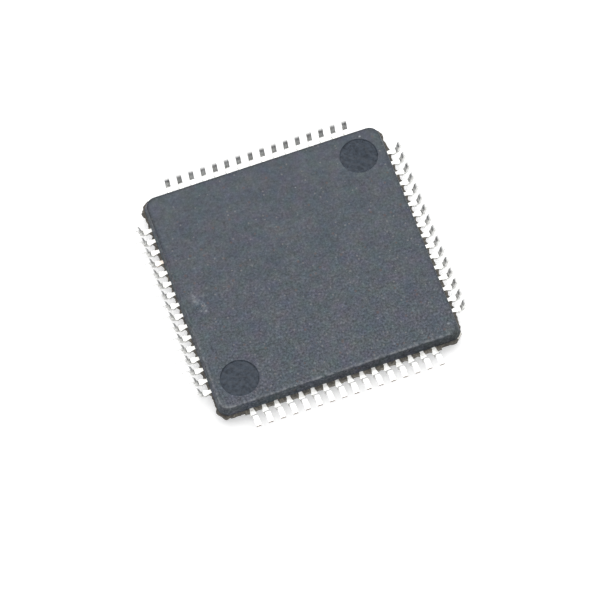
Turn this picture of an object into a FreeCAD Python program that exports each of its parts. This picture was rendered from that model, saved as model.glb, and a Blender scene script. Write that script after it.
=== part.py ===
import FreeCAD, Part
import os

import Sketcher

# A thin quad flat pack chip, lying on its marked face with the soles of its feet up.
# The origin is the centre of the face that it rests on. X and Y run along its sides, and Z is up.
# The lead row on the +X side is the master: the other three rows are that row turned about Z.

doc = FreeCAD.newDocument("quad_flat_pack")
sheet = doc.addObject("Spreadsheet::Sheet", "sizes")

# Driving sizes, in millimetres and degrees
SIZES = (
    # Epoxy moulding
    ("body_side", 10.0),  # wall to wall, at the parting line
    ("body_height", 1.0),
    ("draft_angle", 13.0),  # of every wall, both ways from the parting line
    ("corner_radius", 0.4),  # of the upright corners
    ("mark_diameter", 1.55),  # round ejector marks on the underside
    ("mark_depth", 0.04),
    ("mark_inset", 1.2),  # from the walls to a mark's centre
    ("index_diameter", 0.9),  # dimple by the first lead, on the marked face
    ("index_depth", 0.05),
    ("index_inset", 1.1),
    # Leads
    ("lead_count", 16),  # on each side
    ("row_margin", 1.25),  # corner of the parting line to the centre of a row's end lead
    ("lead_gauge", 0.127),  # thickness of the lead frame
    ("lead_width", 0.2),
    ("lead_reach", 1.0),  # wall to the tip of the foot
    ("standoff", 0.1),  # soles beyond the underside
    ("foot_length", 0.53),
    ("riser_lean", 12.0),  # from upright
    ("bend_radius", 0.08),  # on the hollow side of a bend
    ("neck_width", 0.16),
    ("neck_length", 0.05),  # wall to where the neck starts to widen
    ("stub_slope", 0.22),  # length over which it widens to the cut-off dam bar
    ("stub_side", 0.035),  # what is left of the dam bar beyond the lead's edge
    # Fingers, the leads' ends inside the moulding
    ("finger_straight", 0.4),  # from the wall to where a finger turns to the die
    ("finger_pitch", 0.3),
    ("finger_width", 0.15),
    ("finger_gap", 0.3),  # die pad's edge to the fingers' tips, seen from above
    # Die pad and its four tie bars
    ("pad_side", 5.4),
    ("pad_downset", 0.13),
    ("tie_width", 0.3),
    ("tie_flat", 0.2),
    ("tie_step", 0.2),  # length of the sloping step between the two levels
    ("tie_stub", 0.02),  # cut end beyond the corner's face
    # Die, its adhesive and the bond wires
    ("die_side", 3.6),
    ("die_thickness", 0.25),
    ("attach_thickness", 0.025),
    ("attach_margin", 0.06),
    ("bond_inset", 0.12),  # die's edge to the bonds on it
    ("bond_pitch", 0.19),
    ("stitch_inset", 0.2),  # finger's tip to the bond on it
    ("wire_gauge", 0.025),
    ("loop_height", 0.13),
)

LEADS_IN_A_NODE = 2
WIRES_IN_A_NODE = 4
SIDES = 4
OUTER_CORNERS = 4  # of the flats that stand for the outer side of a bend
HOLLOW_CORNERS = 2
EXACT = 1e-6

for line, (alias, value) in enumerate(SIZES, 1):
    sheet.set(f"A{line}", alias)
    sheet.set(f"B{line}", str(value))
    sheet.setAlias(f"B{line}", alias)
doc.recompute()

# Places worked out from the driving sizes. Each is an expression that sketches and features are bound to.
WALL = "sizes.body_side / 2"
PARTING = "sizes.body_height / 2"
LEAD_TOP = "(sizes.body_height + sizes.lead_gauge) / 2"
LEAD_LOW = "(sizes.body_height - sizes.lead_gauge) / 2"
SOLE = "(sizes.body_height + sizes.standoff)"
TIP = f"({WALL} + sizes.lead_reach)"
LEAD_PITCH = "((sizes.body_side - 2 * sizes.row_margin) / (sizes.lead_count - 1))"
FINGER_TIP = "(sizes.pad_side / 2 + sizes.finger_gap)"
FINGER_TURN = f"({WALL} - sizes.finger_straight)"
BEND_ANGLE = "(90 - sizes.riser_lean)"
OUTER_RADIUS = "(sizes.bend_radius + sizes.lead_gauge)"
HEEL = f"({TIP} - sizes.foot_length)"
ANKLE = f"({HEEL} - ({SOLE} - {LEAD_TOP}) * tan(sizes.riser_lean))"
NECK_END = f"({WALL} + sizes.neck_length)"
STUB_END = f"({NECK_END} + sizes.stub_slope)"
PAD_LOW = f"({LEAD_LOW} + sizes.pad_downset)"
PAD_TOP = f"({LEAD_TOP} + sizes.pad_downset)"
PAD_CORNER = "(sizes.pad_side / sqrt(2))"
TIE_TURN = f"({PAD_CORNER} + sizes.tie_flat)"
TIE_LEVEL = f"({TIE_TURN} + sizes.tie_step)"
TIE_END = "(sizes.body_side / sqrt(2) - sizes.corner_radius * (sqrt(2) - 1) + sizes.tie_stub)"
ATTACH_LOW = f"({PAD_LOW} - sizes.attach_thickness)"
DIE_LOW = f"({ATTACH_LOW} - sizes.die_thickness)"
LOOP_LOW = f"({DIE_LOW} - sizes.loop_height)"
MARK_AWAY = f"({WALL} - sizes.mark_inset)"
INDEX_AWAY = f"({WALL} - sizes.index_inset)"


def value_of(expression):
    return float(sheet.evalExpression(expression))


def turned(degrees):
    return FreeCAD.Placement(FreeCAD.Vector(), FreeCAD.Rotation(FreeCAD.Vector(0, 0, 1), degrees))


def outline(sketch, corners):
    # A closed outline whose corners are pairs of expressions, each bound to a dimension from the origin.
    points = [FreeCAD.Vector(value_of(across), value_of(along), 0) for across, along in corners]
    count = len(points)
    for number in range(count):
        sketch.addGeometry(Part.LineSegment(points[number], points[(number + 1) % count]), False)
    for number in range(count):
        sketch.addConstraint(Sketcher.Constraint("Coincident", number, 2, (number + 1) % count, 1))
    for number, corner in enumerate(corners):
        for kind, expression in zip(("DistanceX", "DistanceY"), corner):
            constraint = Sketcher.Constraint(kind, -1, 1, number, 1, value_of(expression))
            sketch.setExpression(f"Constraints[{sketch.addConstraint(constraint)}]", expression)


def circle(sketch, across, along, diameter):
    radius = f"{diameter} / 2"
    centre = FreeCAD.Vector(value_of(across), value_of(along), 0)
    number = sketch.addGeometry(Part.Circle(centre, FreeCAD.Vector(0, 0, 1), value_of(radius)), False)
    for kind, expression in (("DistanceX", across), ("DistanceY", along)):
        constraint = Sketcher.Constraint(kind, -1, 1, number, 3, value_of(expression))
        sketch.setExpression(f"Constraints[{sketch.addConstraint(constraint)}]", expression)
    constraint = Sketcher.Constraint("Radius", number, value_of(radius))
    sketch.setExpression(f"Constraints[{sketch.addConstraint(constraint)}]", radius)


def body_sketch(body, name, plane, level="0"):
    # A sketch on one of the body's own origin planes, moved to a level along its normal.
    sketch = body.newObject("Sketcher::SketchObject", name)
    support = [feature for feature in body.Origin.OriginFeatures if feature.Role == plane]
    sketch.AttachmentSupport = [(support[0], "")]
    sketch.MapMode = "FlatFace"
    sketch.setExpression("AttachmentOffset.Base.z", level)
    return sketch


def compound(name, links, placement=None):
    group = doc.addObject("Part::Compound", name)
    group.Links = links
    if placement:
        group.Placement = placement
    return group


def box(name, side, low, height):
    # A square slab, centred on the Z axis.
    slab = doc.addObject("Part::Box", name)
    slab.setExpression("Length", side)
    slab.setExpression("Width", side)
    slab.setExpression("Height", height)
    slab.setExpression("Placement.Base.x", f"-({side}) / 2")
    slab.setExpression("Placement.Base.y", f"-({side}) / 2")
    slab.setExpression("Placement.Base.z", low)
    return slab


# Moulding: a drafted half with rounded corners, and its mirror image below the parting line
def mould_form():
    body = doc.addObject("PartDesign::Body", "mould_form")
    square = body_sketch(body, "parting_outline", "XY_Plane", PARTING)
    outline(square, ((WALL, WALL), (f"-({WALL})", WALL), (f"-({WALL})", f"-({WALL})"), (WALL, f"-({WALL})")))
    parting = body.newObject("PartDesign::Plane", "parting_plane")
    parting.AttachmentSupport = square.AttachmentSupport
    parting.MapMode = "FlatFace"
    parting.setExpression("AttachmentOffset.Base.z", PARTING)
    half = body.newObject("PartDesign::Pad", "upper_half")
    half.Profile = square
    half.setExpression("Length", PARTING)
    doc.recompute()
    walls = body.newObject("PartDesign::Draft", "drafted_walls")
    walls.Base = (half, [f"Face{number}" for number, face in enumerate(half.Shape.Faces, 1)
                         if abs(face.normalAt(0, 0).z) < EXACT])
    walls.NeutralPlane = (parting, [""])
    walls.setExpression("Angle", "sizes.draft_angle")
    doc.recompute()
    corners = body.newObject("PartDesign::Fillet", "rounded_corners")
    corners.Base = (walls, [f"Edge{number}" for number, edge in enumerate(walls.Shape.Edges, 1)
                            if abs(edge.tangentAt(0).z) > EXACT])
    corners.setExpression("Radius", "sizes.corner_radius")
    doc.recompute()
    both = body.newObject("PartDesign::Mirrored", "both_halves")
    both.TransformMode = "Whole shape"
    both.MirrorPlane = (parting, [""])
    body.Tip = both

    marks = body_sketch(body, "ejector_circles", "XY_Plane", "sizes.body_height")
    for sign in ("", "-"):
        circle(marks, f"{sign}{MARK_AWAY}", f"{sign}{MARK_AWAY}", "sizes.mark_diameter")
    recess = body.newObject("PartDesign::Pocket", "ejector_marks")
    recess.Profile = marks
    recess.setExpression("Length", "sizes.mark_depth")

    index = body_sketch(body, "index_circle", "XY_Plane")
    circle(index, INDEX_AWAY, INDEX_AWAY, "sizes.index_diameter")
    dimple = body.newObject("PartDesign::Pocket", "index_dimple")
    dimple.Profile = index
    dimple.Reversed = True
    dimple.setExpression("Length", "sizes.index_depth")
    body.Tip = dimple
    return body


def bend(centre, radius, corners, sign):
    # One side of a bend, as flats that touch its curve. The corners between them start at its flat end.
    share = f"{BEND_ANGLE} / {2 * corners}"
    return [(f"{centre[0]} {sign} {radius} / cos({share}) * sin({share} * {step})",
             f"{centre[1]} {'-' if sign == '+' else '+'} {radius} / cos({share}) * cos({share} * {step})")
            for step in range(1, 2 * corners, 2)]


# Lead frame strip after forming: the gull-wing section, as long as a row of leads
def formed_strip():
    body = doc.addObject("PartDesign::Body", "formed_strip")
    section = body_sketch(body, "gull_wing_section", "XZ_Plane")
    lower = (f"({ANKLE} - sizes.bend_radius * tan({BEND_ANGLE} / 2))", f"({LEAD_TOP} + sizes.bend_radius)")
    upper = (f"({HEEL} + {OUTER_RADIUS} * tan({BEND_ANGLE} / 2))", f"({SOLE} - {OUTER_RADIUS})")
    outline(section, (
        (FINGER_TIP, LEAD_LOW),
        *bend(lower, OUTER_RADIUS, OUTER_CORNERS, "+"),
        *reversed(bend(upper, "sizes.bend_radius", HOLLOW_CORNERS, "-")),
        (TIP, f"{SOLE} - sizes.lead_gauge"),
        (TIP, SOLE),
        *bend(upper, OUTER_RADIUS, OUTER_CORNERS, "-"),
        *reversed(bend(lower, "sizes.bend_radius", HOLLOW_CORNERS, "+")),
        (FINGER_TIP, LEAD_TOP),
    ))
    strip = body.newObject("PartDesign::Pad", "strip")
    strip.Profile = section
    strip.Midplane = True
    strip.setExpression("Length", f"(sizes.lead_count + 1) * {LEAD_PITCH}")
    body.Tip = strip
    return body


def place_in_row(number, pitch):
    # Distance of one lead from the middle of its row. The first lead is at the +Y end.
    return f"((sizes.lead_count + 1) / 2 - {number}) * {pitch}"


# One lead of the master row: what the trim tool leaves of the formed strip
def lead(number, strip):
    outer = place_in_row(number, LEAD_PITCH)
    inner = place_in_row(number, "sizes.finger_pitch")
    half_lead = "sizes.lead_width / 2"
    half_neck = "sizes.neck_width / 2"
    half_finger = "sizes.finger_width / 2"
    plan = doc.addObject("Sketcher::SketchObject", f"lead_plan_{number:02d}")
    outline(plan, (
        (TIP, f"{outer} - {half_lead}"),
        (TIP, f"{outer} + {half_lead}"),
        (STUB_END, f"{outer} + {half_lead}"),
        (STUB_END, f"{outer} + {half_lead} + sizes.stub_side"),
        (NECK_END, f"{outer} + {half_neck}"),
        (FINGER_TURN, f"{outer} + {half_neck}"),
        (FINGER_TIP, f"{inner} + {half_finger}"),
        (FINGER_TIP, f"{inner} - {half_finger}"),
        (FINGER_TURN, f"{outer} - {half_neck}"),
        (NECK_END, f"{outer} - {half_neck}"),
        (STUB_END, f"{outer} - {half_lead} - sizes.stub_side"),
        (STUB_END, f"{outer} - {half_lead}"),
    ))
    blank = doc.addObject("Part::Extrusion", f"lead_blank_{number:02d}")
    blank.Base = plan
    blank.DirMode = "Normal"
    blank.Solid = True
    blank.setExpression("LengthFwd", f"{SOLE} + sizes.standoff")
    blank.setExpression("LengthRev", "sizes.standoff")
    trimmed = doc.addObject("Part::MultiCommon", f"lead_{number:02d}")
    trimmed.Shapes = [strip, blank]
    return trimmed


# Bond wire to one lead of the master row: straight off the die, then one long slope to the finger
def bond_wire(number):
    start = ("(sizes.die_side / 2 - sizes.bond_inset)", place_in_row(number, "sizes.bond_pitch"))
    fan = f"({LEAD_PITCH} - sizes.finger_pitch)"
    drawn_in = f"sizes.stitch_inset / ({FINGER_TURN} - {FINGER_TIP})"
    end = (f"({FINGER_TIP} + sizes.stitch_inset)",
           place_in_row(number, f"(sizes.finger_pitch + {fan} * {drawn_in})"))
    across = f"({end[0]} - {start[0]})"
    along = f"({end[1]} - {start[1]})"
    run = f"sqrt({across} ^ 2 + ({along}) ^ 2)"
    climb = f"({LEAD_LOW} - {LOOP_LOW})"
    half = "sizes.wire_gauge / 2"
    half_stitch = f"{half} * {run} / {climb}"
    half_knee = f"{half} * {climb} / {run}"
    path = doc.addObject("Sketcher::SketchObject", f"wire_path_{number:02d}")
    path.Placement = FreeCAD.Placement(FreeCAD.Vector(), FreeCAD.Rotation(FreeCAD.Vector(1, 0, 0), 90))
    outline(path, (
        (f"-{half}", DIE_LOW),
        (f"-{half}", f"{LOOP_LOW} - {half} - {half_knee}"),
        (f"{run} + {half_stitch}", LEAD_LOW),
        (f"{run} - {half_stitch}", LEAD_LOW),
        (half, f"{LOOP_LOW} + {half} + {half_knee}"),
        (half, DIE_LOW),
    ))
    wire = doc.addObject("Part::Extrusion", f"wire_{number:02d}")
    wire.Base = path
    wire.DirMode = "Normal"
    wire.Solid = True
    wire.Symmetric = True
    wire.setExpression("LengthFwd", "sizes.wire_gauge")
    wire.Placement = turned(1)
    wire.setExpression("Placement.Base.x", start[0])
    wire.setExpression("Placement.Base.y", start[1])
    wire.setExpression("Placement.Rotation.Angle", f"atan2({along}; {across})")
    return wire


# Die pad with its tie bars. It is drawn with the bars along X and Y, and then turned onto the diagonals.
def die_pad():
    body = doc.addObject("PartDesign::Body", "die_pad")
    square = body_sketch(body, "pad_outline", "XY_Plane", PAD_LOW)
    outline(square, ((PAD_CORNER, "0"), ("0", PAD_CORNER), (f"-{PAD_CORNER}", "0"), ("0", f"-{PAD_CORNER}")))
    plate = body.newObject("PartDesign::Pad", "plate")
    plate.Profile = square
    plate.setExpression("Length", "sizes.lead_gauge")

    section = body_sketch(body, "tie_section", "XZ_Plane")
    outline(section, (
        ("sizes.pad_side / 2", PAD_LOW),
        (TIE_TURN, PAD_LOW),
        (TIE_LEVEL, LEAD_LOW),
        (TIE_END, LEAD_LOW),
        (TIE_END, LEAD_TOP),
        (TIE_LEVEL, LEAD_TOP),
        (TIE_TURN, PAD_TOP),
        ("sizes.pad_side / 2", PAD_TOP),
    ))
    bar = body.newObject("PartDesign::Pad", "tie_bar")
    bar.Profile = section
    bar.Midplane = True
    bar.setExpression("Length", "sizes.tie_width")

    bars = body.newObject("PartDesign::PolarPattern", "tie_bars")
    bars.Originals = [bar]
    bars.Axis = ([axis for axis in body.Origin.OriginFeatures if axis.Role == "Z_Axis"][0], [""])
    bars.Angle = 360
    bars.Occurrences = SIDES
    body.Tip = bars
    body.Placement = turned(45)
    return body


def rows_of(masters, in_a_node, name):
    # The master row and its three turned copies, a few neighbours to a node, numbered round the chip.
    nodes = []
    for side in range(SIDES):
        for first in range(0, len(masters), in_a_node):
            members = masters[first:first + in_a_node]
            number = side * len(masters) + first + 1
            label = f"{name}_{number:02d}_{number + len(members) - 1:02d}"
            nodes.append(compound(label, members, turned(-360 / SIDES * side)))
    return nodes


def hollowed(base, tools):
    # The moulding has flowed round each thing in turn, and fits it face to face.
    for tool in tools:
        cut = doc.addObject("Part::Cut", f"mould_round_{tool.Name}")
        cut.Base = base
        cut.Tool = tool
        base = cut
    return base


form = mould_form()
strip = formed_strip()
pad = die_pad()
attach = box("die_attach", "(sizes.die_side + 2 * sizes.attach_margin)", ATTACH_LOW, "sizes.attach_thickness")
die = box("die", "sizes.die_side", DIE_LOW, "sizes.die_thickness")
numbers = range(1, int(value_of("sizes.lead_count")) + 1)
leads = rows_of([lead(number, strip) for number in numbers], LEADS_IN_A_NODE, "leads")
wires = rows_of([bond_wire(number) for number in numbers], WIRES_IN_A_NODE, "bond_wires")
mould = hollowed(form, [compound("all_leads", leads), pad, attach, die, compound("all_wires", wires)])
mould.Label = "mould_body"
doc.recompute()

# Nothing is written unless every feature worked and every piece is sound
for item in doc.Objects:
    if "Invalid" in item.State or "Error" in item.State:
        raise RuntimeError(f"{item.Label} failed: {item.State}")
pieces = [mould, pad, attach, die] + leads + wires
for piece in pieces:
    if piece.Shape.isNull() or not piece.Shape.isValid():
        raise RuntimeError(f"{piece.Label} has no sound shape")

os.makedirs("parts", exist_ok=True)
for piece in pieces:
    piece.Shape.exportStep(f"parts/{piece.Label}.step")
print(f"{len(pieces)} pieces written")
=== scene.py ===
import math

import bmesh
import bpy
from mathutils import Matrix, Vector
from mathutils.noise import noise as noise_at

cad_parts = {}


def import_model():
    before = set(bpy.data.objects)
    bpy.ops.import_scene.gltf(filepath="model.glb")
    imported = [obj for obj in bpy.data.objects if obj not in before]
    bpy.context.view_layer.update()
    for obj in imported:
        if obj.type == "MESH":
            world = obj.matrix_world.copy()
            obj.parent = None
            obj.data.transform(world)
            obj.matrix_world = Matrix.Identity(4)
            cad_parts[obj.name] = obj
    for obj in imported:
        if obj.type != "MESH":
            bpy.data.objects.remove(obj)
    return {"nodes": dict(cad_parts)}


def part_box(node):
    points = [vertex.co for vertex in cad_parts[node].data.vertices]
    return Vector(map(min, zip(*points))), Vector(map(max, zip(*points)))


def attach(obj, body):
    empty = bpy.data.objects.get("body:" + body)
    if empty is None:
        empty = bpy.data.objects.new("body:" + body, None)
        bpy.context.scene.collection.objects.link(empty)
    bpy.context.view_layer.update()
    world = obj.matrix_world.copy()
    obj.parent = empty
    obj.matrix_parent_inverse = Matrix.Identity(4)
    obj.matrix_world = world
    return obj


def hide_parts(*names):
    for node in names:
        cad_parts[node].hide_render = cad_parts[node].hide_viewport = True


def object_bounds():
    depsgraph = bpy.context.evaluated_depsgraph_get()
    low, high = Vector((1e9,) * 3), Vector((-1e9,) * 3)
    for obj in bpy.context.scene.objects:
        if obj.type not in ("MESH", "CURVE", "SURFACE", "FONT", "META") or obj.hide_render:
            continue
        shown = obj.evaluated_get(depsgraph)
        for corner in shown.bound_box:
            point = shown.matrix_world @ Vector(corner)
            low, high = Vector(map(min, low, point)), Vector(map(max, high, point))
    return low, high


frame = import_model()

CAD_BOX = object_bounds()
MM = 0.001


def millimetres(length):
    # The frame holds single precision, so the last digits are rounded off
    return round(length / MM, 4)


# Moulding, in millimetres, with the origin at the middle of the face that it lies on
MOULD_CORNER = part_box("mould_body")[1]
HALF = millimetres(MOULD_CORNER.x)  # from the centre to the parting line
HEIGHT = millimetres(MOULD_CORNER.z)
DRAFT_ANGLE = 13  # degrees
DRAFT = math.tan(math.radians(DRAFT_ANGLE))
CORNER = 0.4  # radius of the upright corners
CORNER_STEPS = 10
EDGE = 0.035  # radius of the edges round both faces
EDGE_STEPS = 6
SHARP = math.radians(38)  # an edge that turns by more is shaded as a sharp one

# Rings of the moulding, each with its wear and painted light. Those on the wall have a painted shade of their
# own
WALL_PAINTED_SHADE = None
FACE_RINGS = ((0.10, 0), (0.02, 0.55))  # distance in from the edge
WALL_RINGS = ((0.045, 0.2), (0.07, WALL_PAINTED_SHADE), (0.3, WALL_PAINTED_SHADE), (0.47, WALL_PAINTED_SHADE))  # distance from the face
SEAM_WEAR_AND_PAINTED_LIGHT = 0.2  # at the parting line

# Above 0 an edge is paler, partly from wear and partly as a painted highlight; below 0 it is darkened as
# painted shade. A ring's value is that of the near edge, and the other edges take a factor of it
NEAR_EDGE = 4.4  # from the centre to where the near edge's wear and painted highlight begin
RIGHT_EDGE = 4.5
# Painted shade on the edges right of RIGHT_EDGE and, more strongly, on the far and left edges
RIGHT_PAINTED_SHADE = -0.25
OTHER_PAINTED_SHADE = -0.6
NEAR_WALL_PAINTED_SHADE = -0.42  # painted shade on the right half of the near wall

# Round recesses, in millimetres
MARK = 3.8  # ejector marks at plus and minus this
MARK_RADIUS = 0.775
MARK_DEPTH = 0.04
DIMPLE = 3.9
DIMPLE_RADIUS = 0.45
DIMPLE_DEPTH = 0.05
RECESS_RIM = 0.02
RECESS_SLOPE = 0.05
RECESS_FOOT = 0.08
RECESS_STEPS = 8
CIRCLE_STEPS = 48

# Leads, in millimetres. Their soles look up, as the part lies on its marked face
GAUGE = 0.127
PITCH = 0.5
COUNT = 16  # a side
LEAD_TOP = (HEIGHT + GAUGE) / 2
SOLE = millimetres(CAD_BOX[1].z)
TIP = millimetres(CAD_BOX[1].x)
FOOT = 0.53
HEEL = TIP - FOOT
LEAN = math.radians(12)
BEND = 0.08  # inner radius at the shoulder
HEEL_BEND = 0.15
BEND_STEPS = 10
LEAD_HALF = 0.1  # half widths
NECK_HALF = 0.08
STUB_HALF = 0.135
LEAD_EDGE = 0.014  # how far the long edges are rounded
EDGE_MIDDLE = 0.3  # where a rounded edge's middle point lies, as a share of that
TIP_EDGE = 0.012
TIP_TAPER = 0.003

# The neck and the stub of the cut dam bar, as distances out from the moulding in millimetres
NECK_IN = 0.2
NECK_OUT = 0.03
FLARE_OUT = 0.06
FLARE_LENGTH = 0.19
FLARE_STEPS = 5
FLARE_START = NECK_HALF + 0.004
STUB_OUT = 0.27
STUB_EDGE = 0.006
STUB_STEP = 0.001

# The leads' finish and painted highlight, counted along the stations of their centre line
STAINS = {45: 0.4}  # lead number and how brown its shoulder is
STAIN_STATIONS = 14
# Painted highlight on the middle of the riser, as a share of that on the feet
RISER_PAINTED_HIGHLIGHT = 0.6
FOOT_START = 2  # stations from the riser's middle to where the painted highlight on the foot starts
FOOT_FADE = 2.5  # stations from there to the painted highlight's full strength

# The tie bars' sheared ends, in millimetres
TIE_END_AWAY = 6.86  # from the centre to just inside the moulding's corners
TIE_END_BLUR = 0.01
BRIGHT_END = (4.87, -4.87)
BRIGHT_END_RADIUS = 0.4
BRIGHT_END_SHARE = 0.55  # of the way from dull to bright

# Flash of resin at the parting line, in millimetres. The sides go anticlockwise from the right
RIGHT, FAR, LEFT, NEAR = range(4)
FLASH_STEP = 0.02
FLASH_LEAST = 0.008
FLASH_MOST = 0.21
ROW_END = 4.05  # along a side, from its middle to where the flash of the corners begins
WIDE_WAVES, FINE_WAVES, ROUGH_WAVES = 1.3, 7.0, 24.0  # to the millimetre
WIDE_SHIFT = 3.1  # moves the wide noise away from the others
HUG_WIDTH = 0.17  # from the middle of the gap between two leads to where the flash hugs them fully
# What the reach is made of: a length, and shares of hug and of the wide, fine and rough noise
ROW_REACH = (0.075, 0.030, 0.06, 0.04, 0.010)
CORNER_REACH = (0.06, 0.0, 0.08, 0.03, 0.012)
# Along each row, a factor on that reach, and a length and a share of hug on top
SIDE_REACH = {RIGHT: (1.0, -0.01, 0.035), FAR: (0.7, 0.0, 0.0), LEFT: (1.0, -0.01, 0.055),
              NEAR: (1.0, 0.08, 0.02)}
# The section's corners from its upper root outwards and back: a share of the reach, a length on top,
# the height over the parting line, how much the fine noise ripples it, and how thin the resin is, which sets
# its painted glow
FLASH_SECTION = ((0.0, -0.05, 0.056, 0.0, 0.0), (0.5, 0.0, 0.053, 0.006, 0.1), (1.0, -0.01, 0.041, 0.0, 1.0),
                 (1.0, 0.0, 0.005, 0.0, 1.0), (1.0, -0.012, -0.045, 0.0, 0.6), (0.0, -0.05, -0.057, 0.0, 0.0))
NEAR_PAINTED_GLOW = 0.75  # painted glow: how much paler thin resin between the near leads is painted, as if lit through
OTHER_PAINTED_GLOW = 0.05
LUMP_SPREAD = 0.02  # square millimetres
# Lumps, and chips where the size is below 0: x, y and size
LUMPS = ((-5.03, 4.55, 0.06), (-4.80, -5.01, 0.12), (-5.04, -4.74, 0.08), (4.99, 4.61, 0.06),
         (4.97, -4.79, -0.12), (4.62, -5.05, 0.08))

# Colours of the moulding
SLATE_DARK = (0.065, 0.079, 0.098)
SLATE_PALE = (0.085, 0.095, 0.112)
# Pale colour of the edges, partly wear and partly a painted highlight
WEAR_AND_HIGHLIGHT_PALE = (0.30, 0.31, 0.33)
SCUFFED = (0.58, 0.62, 0.66)
WEAR_AND_HIGHLIGHT_SHARE = 0.75  # of the way to the pale colour, where the wear and painted highlight is 1
FAR_GRAIN = 0.27  # strength of the grain at the far side, where it is 1 at the near side
# Inclusions in the resin: cells to the metre, size in a cell, strength and colour
INCLUSIONS = ((6200, 0.24, 0.45, (0.24, 0.24, 0.24)), (4100, 0.24, 0.45, (0.12, 0.080, 0.072)),
              (5000, 0.25, 0.35, (0.035, 0.04, 0.05)))
INCLUSION_RARITY = 0.84  # share of cells without one
# Scuffs and pale specks on the face, in millimetres: x, y, radius, stretch in x and y, and strength
SPECKS = ((4.12, 4.61, 0.06, (1.0, 0.8), 1.0), (-4.37, 0.13, 0.24, (0.8, 1.3), 0.17),
          (-4.32, -0.13, 0.22, (1.2, 0.8), 0.17), (-4.13, -0.40, 0.15, (0.8, 1.5), 0.62),
          (-4.13, -0.61, 0.08, (1.2, 0.9), 0.38), (-4.31, -0.55, 0.12, (1.2, 0.8), 0.26),
          (-4.02, 0.07, 0.14, (1.3, 0.7), 0.14), (4.59, -4.42, 0.09, (0.9, 0.7), 0.7),
          (3.47, -4.46, 0.06, (1.0, 0.7), 0.5), (0.96, 3.33, 0.04, (1.2, 0.6), 0.45),
          (3.44, -1.54, 0.04, (1.0, 0.7), 0.45))
SPECK_CORE = 0.2  # share of a speck's radius that has its full strength

# Camera, fitted to the photograph
CAMERA_ANGLES = (-13.79, 63.87, -5.92)  # turn, rise and roll in degrees
CAMERA_PLACE = (-0.024, -1.185, 133.421)  # right, up and back from the middle of the leads, in millimetres
FOCAL_PIXELS = 3380.246
PHOTO_PIXELS = 600
SENSOR = 36  # millimetres
CLIP_START, CLIP_END = 0.01, 20  # metres

# Light and surroundings, in metres
KEY_PLACE = (0.07, 0.13, 0.52)
KEY_SIZE = 1.2
KEY_POWER = 5.4  # watts
FLOOR_HALF = 3.0
FLOOR_HEIGHT = -2e-6
FLOOR_GLOW = 0.42  # to the camera and in reflections only
SKY_STRENGTH = 0.25
SKY_GLOW = 0.75  # on top of that, to the camera and in reflections only

# Places in the mix node's lists of sockets and in the pieces' lists of materials
MIX_A, MIX_B, MIX_OUT = 6, 7, 2
MOULDED, PRESSED, BLED = range(3)
PLATED, SHEARED = range(2)


# Shader nodes

def feed(tree, socket, value):
    # Links another socket to this one, or sets it to a number, a vector or a colour
    if isinstance(value, bpy.types.NodeSocket):
        tree.links.new(value, socket)
    elif socket.type == "RGBA":
        socket.default_value = (*value, 1)
    else:
        socket.default_value = value


def feed_all(tree, node, inputs):
    for name, value in inputs.items():
        feed(tree, node.inputs[name], value)


def add_node(tree, kind, inputs, **settings):
    node = tree.nodes.new("ShaderNode" + kind)
    for name, value in settings.items():
        setattr(node, name, value)
    feed_all(tree, node, inputs)
    return node


def new_material(name):
    material = bpy.data.materials.new(name)
    material.use_nodes = True
    return material, material.node_tree


def surface(material, inputs):
    tree = material.node_tree
    feed_all(tree, tree.nodes["Principled BSDF"], inputs)
    return material


def position(tree):
    # One node gives the object's own coordinates to the whole material
    if "position" not in tree.nodes:
        add_node(tree, "TexCoord", {}, name="position")
    return tree.nodes["position"].outputs["Object"]


def attribute(tree, name):
    return add_node(tree, "Attribute", {}, attribute_name=name).outputs["Fac"]


def noise(tree, scale, detail=2.0, rough=0.5, output="Fac"):
    inputs = {"Scale": scale, "Detail": detail, "Roughness": rough, "Vector": position(tree)}
    return add_node(tree, "TexNoise", inputs).outputs[output]


def grey(level):
    return (level, level, level)


def ramp(tree, value, stops):
    node = add_node(tree, "ValToRGB", {"Fac": value})
    elements = node.color_ramp.elements
    while len(elements) < len(stops):
        elements.new(0.5)
    for element, (at, colour) in zip(elements, stops):
        element.position = at
        element.color = (*colour, 1)
    return node.outputs["Color"]


def mix(tree, factor, first, second, blend="MIX"):
    inputs = {"Factor": factor, MIX_A: first, MIX_B: second}
    return add_node(tree, "Mix", inputs, data_type="RGBA", blend_type=blend).outputs[MIX_OUT]


def maths(tree, operation, *values, clamp=False):
    return add_node(tree, "Math", dict(enumerate(values)), operation=operation, use_clamp=clamp).outputs[0]


def spot(tree, x, y, radius, core, stretch=(1, 1)):
    # An upright round column: 1 in its core, which is a share of its radius, falling to 0 at its rim
    endless = 1000.0
    size = (radius * MM * stretch[0], radius * MM * stretch[1], endless)
    inputs = {"Location": (x * MM, y * MM, HEIGHT * MM), "Scale": size, "Vector": position(tree)}
    column = add_node(tree, "Mapping", inputs, vector_type="TEXTURE")
    away = add_node(tree, "VectorMath", {0: column.outputs[0]}, operation="LENGTH")
    inputs = {"Value": away.outputs["Value"], "From Min": 1.0, "From Max": core}
    return add_node(tree, "MapRange", inputs).outputs[0]


def dots(tree, scale, size, strength):
    # Small round inclusions in the cut of the filled resin
    cells = add_node(tree, "TexVoronoi", {"Scale": scale, "Vector": position(tree)})
    lot = add_node(tree, "SeparateColor", {0: cells.outputs["Color"]}).outputs[0]
    inside = maths(tree, "LESS_THAN", cells.outputs["Distance"], size)
    chosen = maths(tree, "GREATER_THAN", lot, INCLUSION_RARITY)
    return maths(tree, "MULTIPLY", maths(tree, "MULTIPLY", inside, chosen), strength)


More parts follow.
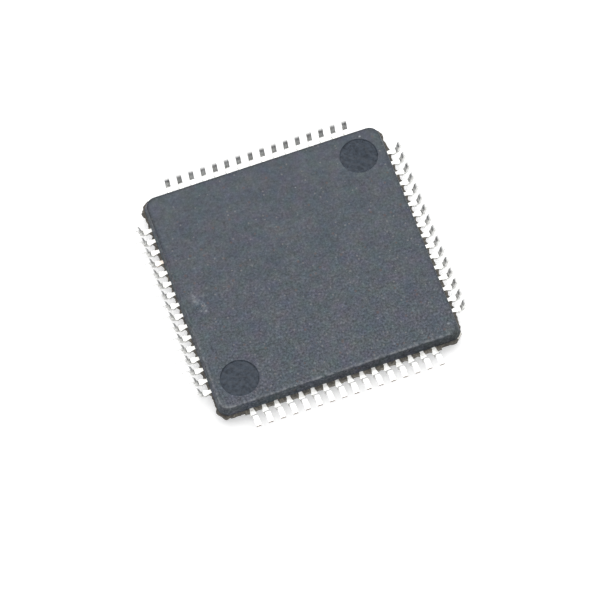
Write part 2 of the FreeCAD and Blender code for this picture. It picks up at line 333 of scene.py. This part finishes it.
def bump(tree, layers):
    # Each layer is a height, its distance in millimetres and its strength
    normal = None
    for height, distance, strength in layers:
        inputs = {"Height": height, "Distance": distance * MM, "Strength": strength}
        if normal is not None:
            inputs["Normal"] = normal
        normal = add_node(tree, "Bump", inputs).outputs["Normal"]
    return normal


def seen_or_mirrored(tree):
    path = add_node(tree, "LightPath", {})
    return maths(tree, "MAXIMUM", path.outputs["Is Camera Ray"], path.outputs["Is Glossy Ray"])


# Materials

def near_grain(tree):
    # The near side is the grainier one
    apart = add_node(tree, "SeparateXYZ", {0: position(tree)})
    inputs = {"Value": apart.outputs["Y"], "From Min": -HALF * MM, "From Max": HALF * MM, "To Min": 1.0,
              "To Max": FAR_GRAIN}
    return add_node(tree, "MapRange", inputs).outputs[0]


def scuffed(tree, base):
    broken = ramp(tree, noise(tree, 9500, 2.0, 0.6), ((0.42, grey(0.1)), (0.58, grey(1))))
    for x, y, radius, stretch, strength in SPECKS:
        rubbed = maths(tree, "MULTIPLY", spot(tree, x, y, radius, SPECK_CORE, stretch), strength)
        base = mix(tree, maths(tree, "MULTIPLY", rubbed, broken), base, SCUFFED)
    return base


def worn_and_painted_light(tree, base):
    # Pale in patches where the value is above 0, partly wear and partly a painted highlight, and darker as
    # painted shade where it is below
    wear_and_painted_light = attribute(tree, "wear_and_painted_light")
    patches = ramp(tree, noise(tree, 5000, 3.0, 0.7), ((0.38, grey(0)), (0.66, grey(1))))
    pale_wear_and_highlight = maths(tree, "MULTIPLY", wear_and_painted_light, patches, clamp=True)
    base = mix(tree, maths(tree, "MULTIPLY", pale_wear_and_highlight, WEAR_AND_HIGHLIGHT_SHARE), base, WEAR_AND_HIGHLIGHT_PALE)
    return mix(tree, maths(tree, "MULTIPLY", wear_and_painted_light, -1.0, clamp=True), base, grey(0))


def epoxy():
    # Filled resin: slate grey and cloudy, with a sandy grain
    material, tree = new_material("filled_epoxy")
    grain = noise(tree, 11000, 4.0, 0.72)
    clouds = noise(tree, 900, 3.0, 0.6)
    hue = noise(tree, 1900, 3.0, 0.6, "Color")
    mottle = noise(tree, 4200, 4.0, 0.7)
    base = ramp(tree, clouds, ((0.32, SLATE_DARK), (0.68, SLATE_PALE)))
    base = mix(tree, 0.22, base, hue, "OVERLAY")
    mottled = ramp(tree, mottle, ((0.30, grey(0.74)), (0.5, grey(0.99)), (0.72, grey(1.34))))
    base = mix(tree, 0.8, base, mottled, "MULTIPLY")
    sand = ramp(tree, grain, ((0.30, (0.34, 0.34, 0.35)), (0.5, grey(0.98)), (0.70, (2.08, 2.05, 2.0))))
    base = mix(tree, near_grain(tree), base, sand, "MULTIPLY")
    for scale, size, strength, colour in INCLUSIONS:
        base = mix(tree, dots(tree, scale, size, strength), base, colour)
    base = scuffed(tree, base)
    base = worn_and_painted_light(tree, base)
    return surface(material, {
        "Base Color": base,
        "Roughness": ramp(tree, grain, ((0.3, grey(0.72)), (0.7, grey(0.48)))),
        "Specular IOR Level": 0.25,
        "Normal": bump(tree, ((grain, 0.006, 0.5), (noise(tree, 5200), 0.006, 0.35)))})


def thin_epoxy():
    # Thin resin flash, dark where it is thick, and brownish with a painted glow where light would come
    # through thin resin
    material, tree = new_material("thin_epoxy")
    lumps = noise(tree, 9000, 3.0, 0.7)
    thick = ramp(tree, lumps, ((0.35, (0.020, 0.018, 0.015)), (0.55, (0.07, 0.062, 0.05)),
                               (0.72, (0.22, 0.20, 0.16))))
    # Painted glow: the paler colour of thin resin, as if lit from behind
    thin = ramp(tree, lumps, ((0.35, (0.08, 0.075, 0.062)), (0.68, (0.33, 0.31, 0.26))))
    return surface(material, {
        "Base Color": mix(tree, attribute(tree, "wear_and_painted_light"), thick, thin),
        "Roughness": 0.6,
        "Normal": bump(tree, ((lumps, 0.012, 0.8),))})


def smooth_epoxy():
    # The ejector marks and the dimple: pressed by a polished pin, with its faint turning marks
    material, tree = new_material("pressed_epoxy")
    clouds = noise(tree, 1500, 4.0, 0.6)
    grain = noise(tree, 9000, 3.0, 0.6)
    base = ramp(tree, clouds, ((0.3, (0.033, 0.043, 0.058)), (0.7, (0.050, 0.060, 0.076))))
    base = mix(tree, 0.9, base, ramp(tree, grain, ((0.3, grey(0.55)), (0.7, grey(1.55)))), "MULTIPLY")
    inputs = {"Scale": 900, "Distortion": 14.0, "Detail": 3.0, "Vector": position(tree)}
    turning = add_node(tree, "TexWave", inputs, wave_type="RINGS", rings_direction="Z").outputs["Fac"]
    strokes = ramp(tree, turning, ((0.55, grey(0)), (0.95, grey(1))))
    base = mix(tree, maths(tree, "MULTIPLY", strokes, 0.28), base, (0.09, 0.10, 0.118))
    return surface(material, {
        "Base Color": base,
        "Roughness": ramp(tree, clouds, ((0.3, grey(0.36)), (0.7, grey(0.55)))),
        "Specular IOR Level": 0.12,
        "Normal": bump(tree, ((grain, 0.003, 0.3), (turning, 0.002, 0.15)))})


def tin():
    # Matt plating, tarnished in patches, brown at a stained shoulder, and with a painted highlight on the
    # feet and the middle of the riser
    material, tree = new_material("matt_tin")
    grain = noise(tree, 30000, 2.0, 0.6)
    drawn = noise(tree, 3500, 3.0, 0.6)
    base = ramp(tree, drawn, ((0.3, (0.60, 0.60, 0.585)), (0.7, (0.82, 0.82, 0.80))))
    base = mix(tree, attribute(tree, "stain"), base, (0.52, 0.33, 0.20))
    tarnish = ramp(tree, noise(tree, 6500, 3.0, 0.65), ((0.50, grey(0)), (0.70, grey(1))))
    base = mix(tree, maths(tree, "MULTIPLY", tarnish, 0.55), base, (0.36, 0.345, 0.31))
    # Painted highlight: the feet and the riser's middle are painted brighter
    base = mix(tree, attribute(tree, "foot"), base, (0.96, 0.96, 0.95))
    return surface(material, {
        "Base Color": base,
        "Metallic": 1.0,
        "Roughness": ramp(tree, drawn, ((0.3, grey(0.40)), (0.7, grey(0.54)))),
        "Normal": bump(tree, ((grain, 0.003, 0.4), (drawn, 0.008, 0.35)))})


def cut_metal():
    # The leads' cut tips, where the plating is smeared over bare copper alloy
    material, tree = new_material("sheared_copper_alloy")
    tear = noise(tree, 12000, 3.0, 0.7)
    return surface(material, {
        "Base Color": ramp(tree, tear, ((0.35, (0.20, 0.17, 0.14)), (0.65, (0.42, 0.39, 0.36)))),
        "Metallic": 1.0,
        "Roughness": 0.45,
        "Normal": bump(tree, ((tear, 0.005, 0.6),))})


def plated_copper():
    # The pad. Its tie bars' sheared ends are dull, all but the one at the corner by the last lead
    material, tree = new_material("plated_copper_alloy")
    rolled = noise(tree, 4000, 4.0, 0.6)
    base = ramp(tree, rolled, ((0.3, (0.36, 0.34, 0.31)), (0.7, (0.66, 0.64, 0.60))))
    inside = spot(tree, 0, 0, TIE_END_AWAY, TIE_END_AWAY / (TIE_END_AWAY + TIE_END_BLUR))
    bright = maths(tree, "MULTIPLY", spot(tree, *BRIGHT_END, BRIGHT_END_RADIUS, 0.9), BRIGHT_END_SHARE)
    dull = maths(tree, "MULTIPLY", maths(tree, "SUBTRACT", 1.0, inside), maths(tree, "SUBTRACT", 1.0, bright))
    return surface(material, {
        "Base Color": mix(tree, dull, base, (0.055, 0.048, 0.042)),
        "Metallic": 1.0,
        "Roughness": ramp(tree, rolled, ((0.3, grey(0.3)), (0.7, grey(0.5)))),
        "Normal": bump(tree, ((rolled, 0.004, 0.4),))})


def silicon():
    material, tree = new_material("polished_silicon")
    tint = noise(tree, 500)
    return surface(material, {
        "Base Color": ramp(tree, tint, ((0.3, (0.16, 0.16, 0.2)), (0.7, (0.22, 0.2, 0.26)))),
        "Metallic": 0.6,
        "Roughness": 0.12,
        "Normal": bump(tree, ((noise(tree, 20000, 1.0), 0.001, 0.1),))})


def silver_epoxy():
    material, tree = new_material("silver_filled_epoxy")
    flakes = noise(tree, 9000, 3.0, 0.7)
    return surface(material, {
        "Base Color": ramp(tree, flakes, ((0.35, grey(0.38)), (0.65, (0.72, 0.72, 0.7)))),
        "Metallic": 0.4,
        "Roughness": 0.5,
        "Normal": bump(tree, ((flakes, 0.004, 0.5),))})


def gold():
    material, tree = new_material("drawn_gold")
    drawn = noise(tree, 15000)
    return surface(material, {
        "Base Color": ramp(tree, drawn, ((0.3, (0.80, 0.55, 0.18)), (0.7, (0.90, 0.68, 0.28)))),
        "Metallic": 1.0,
        "Roughness": 0.2,
        "Normal": bump(tree, ((drawn, 0.001, 0.2),))})


def white_paper():
    material, tree = new_material("white_paper")
    return surface(material, {
        "Base Color": grey(0.85),
        "Roughness": 0.9,
        "Specular IOR Level": 0.1,
        "Emission Color": grey(1),
        "Emission Strength": maths(tree, "MULTIPLY", seen_or_mirrored(tree), FLOOR_GLOW)})


# Meshes

def finish_piece(name, mesh, materials, node):
    # The piece takes the place of a CAD node
    data = bpy.data.meshes.new(name)
    mesh.to_mesh(data)
    mesh.free()
    for material in materials:
        data.materials.append(material)
    data.shade_smooth()
    data.set_sharp_from_angle(angle=SHARP)
    piece = bpy.data.objects.new(name, data)
    bpy.context.scene.collection.objects.link(piece)
    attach(piece, "root")
    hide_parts(node)


def ring(mesh, half, z):
    # A square ring with rounded corners
    vertices = []
    for quarter in range(4):
        x = (half - CORNER) * (1 if quarter in (0, 3) else -1)
        y = (half - CORNER) * (1 if quarter in (0, 1) else -1)
        for step in range(CORNER_STEPS + 1):
            angle = math.pi / 2 * (quarter + step / CORNER_STEPS)
            point = Vector((x + CORNER * math.cos(angle), y + CORNER * math.sin(angle), z))
            vertices.append(mesh.verts.new(point * MM))
    return vertices


def circle(mesh, x, y, radius, z):
    vertices = []
    for step in range(CIRCLE_STEPS):
        angle = 2 * math.pi * step / CIRCLE_STEPS
        point = Vector((x + radius * math.cos(angle), y + radius * math.sin(angle), z))
        vertices.append(mesh.verts.new(point * MM))
    return vertices


def bridge(mesh, low, high, material):
    count = len(low)
    for k in range(count):
        after = (k + 1) % count
        face = mesh.faces.new((low[k], low[after], high[after], high[k]))
        face.material_index = material


def fill_between(mesh, loops, upward):
    # A flat face between the first loop and the loops inside it
    edges = []
    for loop in loops:
        edges += [mesh.edges.get(pair) for pair in zip(loop, loop[1:] + loop[:1])]
    made = bmesh.ops.triangle_fill(mesh, use_beauty=True, use_dissolve=False, edges=edges)
    for item in made["geom"]:
        if isinstance(item, bmesh.types.BMFace):
            item.normal_update()
            if (item.normal.z > 0) != upward:
                item.normal_flip()


# The moulding

def recess(mesh, x, y, radius, depth, up):
    # A round recess with softly rounded rim and foot. Returns the ring on the face round it
    face, inwards = (HEIGHT, -1) if up else (0, 1)
    rings = [circle(mesh, x, y, radius + RECESS_RIM, face)]
    for step in range(RECESS_STEPS + 1):
        share = step / RECESS_STEPS
        z = face + inwards * depth * share ** 2 * (3 - 2 * share)
        rings.append(circle(mesh, x, y, radius - RECESS_SLOPE * share, z))
    rings.append(circle(mesh, x, y, radius - RECESS_FOOT, face + inwards * depth))
    for number, pair in enumerate(zip(rings, rings[1:])):
        first, second = pair if up else pair[::-1]
        bridge(mesh, first, second, PRESSED if number else MOULDED)
    floor = mesh.faces.new(rings[-1] if up else rings[-1][::-1])
    floor.material_index = PRESSED
    return rings[0]


def profile():
    # Inset, height, and wear and painted light of each ring, from the lower face up, with support rings at
    # each soft edge
    middle = HEIGHT / 2
    turn = math.radians(90 - DRAFT_ANGLE)
    face_inset = middle * DRAFT + EDGE * math.tan(turn / 2)
    lower = [(face_inset + inwards, 0, wear_and_light) for inwards, wear_and_light in FACE_RINGS]
    for step in range(EDGE_STEPS + 1):
        angle = turn * step / EDGE_STEPS
        lower.append((face_inset - EDGE * math.sin(angle), EDGE * (1 - math.cos(angle)), 1))
    lower += [((middle - z) * DRAFT, z, wear_and_light) for z, wear_and_light in WALL_RINGS]
    upper = [(inset, HEIGHT - z, wear_and_light) for inset, z, wear_and_light in reversed(lower)]
    return lower + [(0.0, middle, SEAM_WEAR_AND_PAINTED_LIGHT)] + upper


def wear_and_light_at(place, wear_and_light):
    # Pale wear and painted highlight on the near edge, painted shade on the other edges and on the right half
    # of the near wall
    near = place.y < -NEAR_EDGE * MM
    if wear_and_light is WALL_PAINTED_SHADE:
        return NEAR_WALL_PAINTED_SHADE if near and place.x > 0 else 0.0
    if place.x > RIGHT_EDGE * MM:
        return wear_and_light * RIGHT_PAINTED_SHADE
    return wear_and_light if near else wear_and_light * OTHER_PAINTED_SHADE


def moulding(materials):
    mesh = bmesh.new()
    wear_and_painted_light = mesh.verts.layers.float.new("wear_and_painted_light")
    rings = []
    for inset, z, wear_and_light in profile():
        vertices = ring(mesh, HALF - inset, z)
        for vertex in vertices:
            vertex[wear_and_painted_light] = wear_and_light_at(vertex.co, wear_and_light)
        rings.append(vertices)
    for low, high in zip(rings, rings[1:]):
        bridge(mesh, low, high, MOULDED)
    marks = [recess(mesh, place, place, MARK_RADIUS, MARK_DEPTH, True) for place in (MARK, -MARK)]
    dimple = recess(mesh, DIMPLE, DIMPLE, DIMPLE_RADIUS, DIMPLE_DEPTH, False)
    fill_between(mesh, [rings[-1]] + marks, True)
    fill_between(mesh, [rings[0], dimple], False)
    flash(mesh, wear_and_painted_light)
    finish_piece("moulding", mesh, materials, "mould_body")


def rim():
    # Points round the parting line, with the direction outwards, the side, and how far along it each lies
    points = []
    straight = HALF - CORNER
    centre = Vector((straight, straight, 0))
    straight_steps = round(2 * straight / FLASH_STEP)
    corner_steps = round(CORNER * math.pi / 2 / FLASH_STEP)
    for side in range(4):
        turned = Matrix.Rotation(math.radians(90 * side), 3, "Z")
        for k in range(straight_steps):
            along = -straight + 2 * straight * k / straight_steps
            points.append((turned @ Vector((HALF, along, 0)), turned @ Vector((1, 0, 0)), side, along))
        for k in range(corner_steps):
            angle = math.pi / 2 * k / corner_steps
            out = Vector((math.cos(angle), math.sin(angle), 0))
            points.append((turned @ (centre + CORNER * out), turned @ out, side, straight + CORNER * angle))
    return points


def in_row(along):
    return abs(along) <= ROW_END


def flash_reach(point, side, along, fine):
    # Hug is 0 in the middle of the gap between two leads and 1 beside them
    wide = noise_at(point * WIDE_WAVES + Vector((WIDE_SHIFT, 0, side)))
    rough = noise_at(point * ROUGH_WAVES)
    hug = min(1.0, abs(along - PITCH * round(along / PITCH)) / HUG_WIDTH) ** 2
    length, by_hug, by_wide, by_fine, by_rough = ROW_REACH if in_row(along) else CORNER_REACH
    reach = length + by_hug * hug + by_wide * wide + by_fine * fine + by_rough * rough
    if in_row(along):
        factor, more, more_by_hug = SIDE_REACH[side]
        reach = factor * reach + (more + more_by_hug * hug)
    for x, y, size in LUMPS:
        reach += size * math.exp(-((point.x - x) ** 2 + (point.y - y) ** 2) / LUMP_SPREAD)
    return min(FLASH_MOST, max(FLASH_LEAST, reach))


def flash(mesh, wear_and_painted_light):
    # Resin that bled between the leads at the parting line, broken off unevenly
    rows = []
    for point, out, side, along in rim():
        fine = noise_at(point * FINE_WAVES)
        reach = flash_reach(point, side, along, fine)
        # Painted glow: thin resin is painted paler, strongly between the near leads and faintly elsewhere
        painted_glow = NEAR_PAINTED_GLOW if side == NEAR and in_row(along) else OTHER_PAINTED_GLOW
        row = []
        for share, more, height, ripple, thin in FLASH_SECTION:
            corner = point + out * (share * reach + more)
            z = HEIGHT / 2 + height + ripple * fine
            vertex = mesh.verts.new(Vector((corner.x, corner.y, z)) * MM)
            vertex[wear_and_painted_light] = thin * painted_glow
            row.append(vertex)
        rows.append(row)
    for row, after in zip(rows, rows[1:] + rows[:1]):
        bridge(mesh, row, after, BLED)


# The leads

def shoulder():
    # Stations from inside the wall to the end of the dam bar's stub
    widths = [(-NECK_IN, NECK_HALF), (NECK_OUT, NECK_HALF)]
    for step in range(FLARE_STEPS + 1):
        share = step / FLARE_STEPS
        widths.append((FLARE_OUT + FLARE_LENGTH * share, FLARE_START + (STUB_HALF - FLARE_START) * share))
    widths += [(STUB_OUT - STUB_EDGE, STUB_HALF), (STUB_OUT, STUB_HALF - STUB_EDGE),
               (STUB_OUT + STUB_STEP, LEAD_HALF)]
    return [(HALF + out, HEIGHT / 2, 0.0, half) for out, half in widths]


def bend(centre, radius, angles):
    # Stations round a centre. A radius below 0 bends the lead back
    return [(centre[0] + radius * math.sin(angle), centre[1] - radius * math.cos(angle), angle, LEAD_HALF)
            for angle in angles]


def lead_stations():
    # Centre line of a formed lead: distance out, height, direction and half width at each station.
    # Returns it with the number of the station in the middle of the riser
    turn = math.pi / 2 - LEAN
    angles = [turn * step / BEND_STEPS for step in range(BEND_STEPS + 1)]
    ankle = HEEL - (SOLE - LEAD_TOP) * math.tan(LEAN)
    low = bend((ankle - BEND * math.tan(turn / 2), LEAD_TOP + BEND), BEND + GAUGE / 2, angles)
    outer = HEEL_BEND + GAUGE
    high = bend((HEEL + outer * math.tan(turn / 2), SOLE - outer), -HEEL_BEND - GAUGE / 2, angles[::-1])
    middle = tuple((a + b) / 2 for a, b in zip(low[-1], high[0]))
    foot = SOLE - GAUGE / 2
    tip = [(TIP - TIP_EDGE, foot, 0.0, LEAD_HALF), (TIP, foot, 0.0, LEAD_HALF - TIP_TAPER)]
    before = shoulder() + low
    return before + [middle] + high + tip, len(before)


def lead_section(half):
    # Points across and up, in turn round a lead whose long edges are slightly rounded
    thick = GAUGE / 2
    middle = EDGE_MIDDLE * LEAD_EDGE
    points = []
    for right, up in ((1, 1), (-1, 1), (-1, -1), (1, -1)):
        corner = [(right * half, up * (thick - LEAD_EDGE)), (right * (half - middle), up * (thick - middle)),
                  (right * (half - LEAD_EDGE), up * thick)]
        points += corner if right == up else corner[::-1]
    return points


def painted_foot_highlight(number, riser):
    # Painted highlight: partly on the riser's middle, fully on the feet
    if number == riser:
        return RISER_PAINTED_HIGHLIGHT
    return min(1.0, max(0.0, (number - riser - FOOT_START) / FOOT_FADE))


def add_lead(mesh, stations, riser, along, turned, stain):
    # One lead, swept along its stations; its cut tip is bare
    stain_layer = mesh.verts.layers.float["stain"]
    # The foot layer holds the painted highlight on the feet and the riser
    painted_highlight_layer = mesh.verts.layers.float["foot"]
    rows = []
    for number, (out, height, angle, half) in enumerate(stations):
        row = []
        for across, up in lead_section(half):
            point = Vector((out - up * math.sin(angle), along + across, height + up * math.cos(angle))) * MM
            vertex = mesh.verts.new(turned @ point)
            vertex[stain_layer] = stain * max(0.0, 1 - number / STAIN_STATIONS)
            vertex[painted_highlight_layer] = painted_foot_highlight(number, riser)
            row.append(vertex)
        rows.append(row)
    for low, high in zip(rows, rows[1:]):
        bridge(mesh, low, high, PLATED)
    mesh.faces.new(rows[0])
    tip = mesh.faces.new(rows[-1][::-1])
    tip.material_index = SHEARED


def leads(materials):
    # Numbered clockwise from the far end of the right side, two to a piece as in the CAD nodes
    stations, riser = lead_stations()
    for side in range(4):
        turned = Matrix.Rotation(math.radians(-90 * side), 4, "Z")
        for first in range(0, COUNT, 2):
            mesh = bmesh.new()
            mesh.verts.layers.float.new("stain")
            mesh.verts.layers.float.new("foot")
            start = side * COUNT + first + 1
            for more in range(2):
                along = ((COUNT - 1) / 2 - first - more) * PITCH
                add_lead(mesh, stations, riser, along, turned, STAINS.get(start + more, 0.0))
            bmesh.ops.recalc_face_normals(mesh, faces=mesh.faces)
            node = f"leads_{start:02d}_{start + 1:02d}"
            finish_piece(f"formed_{node}", mesh, materials, node)


def dress_solids(finishes):
    # The die, its pad and the wires are shown as they are. A finish goes by a solid's whole name or by its
    # first word
    for name, node in frame["nodes"].items():
        node.data.materials.clear()
        node.data.materials.append(finishes.get(name) or finishes[name.split("_")[0]])


# The studio

def camera():
    turn, rise, roll = (math.radians(angle) for angle in CAMERA_ANGLES)
    back = Vector((math.sin(turn) * math.cos(rise), -math.cos(turn) * math.cos(rise), math.sin(rise)))
    level = Vector((0, 0, 1)).cross(back).normalized()
    upright = back.cross(level)
    right = math.cos(roll) * level + math.sin(roll) * upright
    up = -math.sin(roll) * level + math.cos(roll) * upright
    data = bpy.data.cameras.new("camera")
    data.sensor_width = SENSOR
    data.lens = SENSOR * FOCAL_PIXELS / PHOTO_PIXELS
    data.clip_start = CLIP_START
    data.clip_end = CLIP_END
    item = bpy.data.objects.new("camera", data)
    bpy.context.scene.collection.objects.link(item)
    to_right, to_up, to_back = CAMERA_PLACE
    place = (back * to_back + right * to_right + up * to_up + Vector((0, 0, LEAD_TOP))) * MM
    item.matrix_world = Matrix.Translation(place) @ Matrix((right, up, back)).transposed().to_4x4()
    bpy.context.scene.camera = item


def world():
    item = bpy.data.worlds.new("studio")
    bpy.context.scene.world = item
    item.use_nodes = True
    tree = item.node_tree
    strength = maths(tree, "MULTIPLY_ADD", seen_or_mirrored(tree), SKY_GLOW, SKY_STRENGTH)
    feed_all(tree, tree.nodes["Background"], {"Color": grey(1), "Strength": strength})


def floor():
    data = bpy.data.meshes.new("floor")
    signs = ((-1, -1), (1, -1), (1, 1), (-1, 1))
    corners = [(x * FLOOR_HALF, y * FLOOR_HALF, FLOOR_HEIGHT) for x, y in signs]
    data.from_pydata(corners, [], [(0, 1, 2, 3)])
    data.materials.append(white_paper())
    item = bpy.data.objects.new("floor", data)
    bpy.context.scene.collection.objects.link(item)


def key_light():
    lamp = bpy.data.lights.new("key", "AREA")
    lamp.shape = "DISK"
    lamp.size = KEY_SIZE
    lamp.energy = KEY_POWER
    item = bpy.data.objects.new("key", lamp)
    item.location = KEY_PLACE
    item.rotation_mode = "QUATERNION"
    item.rotation_quaternion = Vector(KEY_PLACE).to_track_quat("Z", "Y")
    bpy.context.scene.collection.objects.link(item)


mould_finish = epoxy()
lead_finish = tin()
camera()
world()
floor()
key_light()
moulding((mould_finish, smooth_epoxy(), thin_epoxy()))
leads((lead_finish, cut_metal()))
dress_solids({"mould": mould_finish, "leads": lead_finish, "bond": gold(), "die_pad": plated_copper(),
              "die_attach": silver_epoxy(), "die": silicon()})
bpy.context.scene.view_settings.view_transform = "Standard"
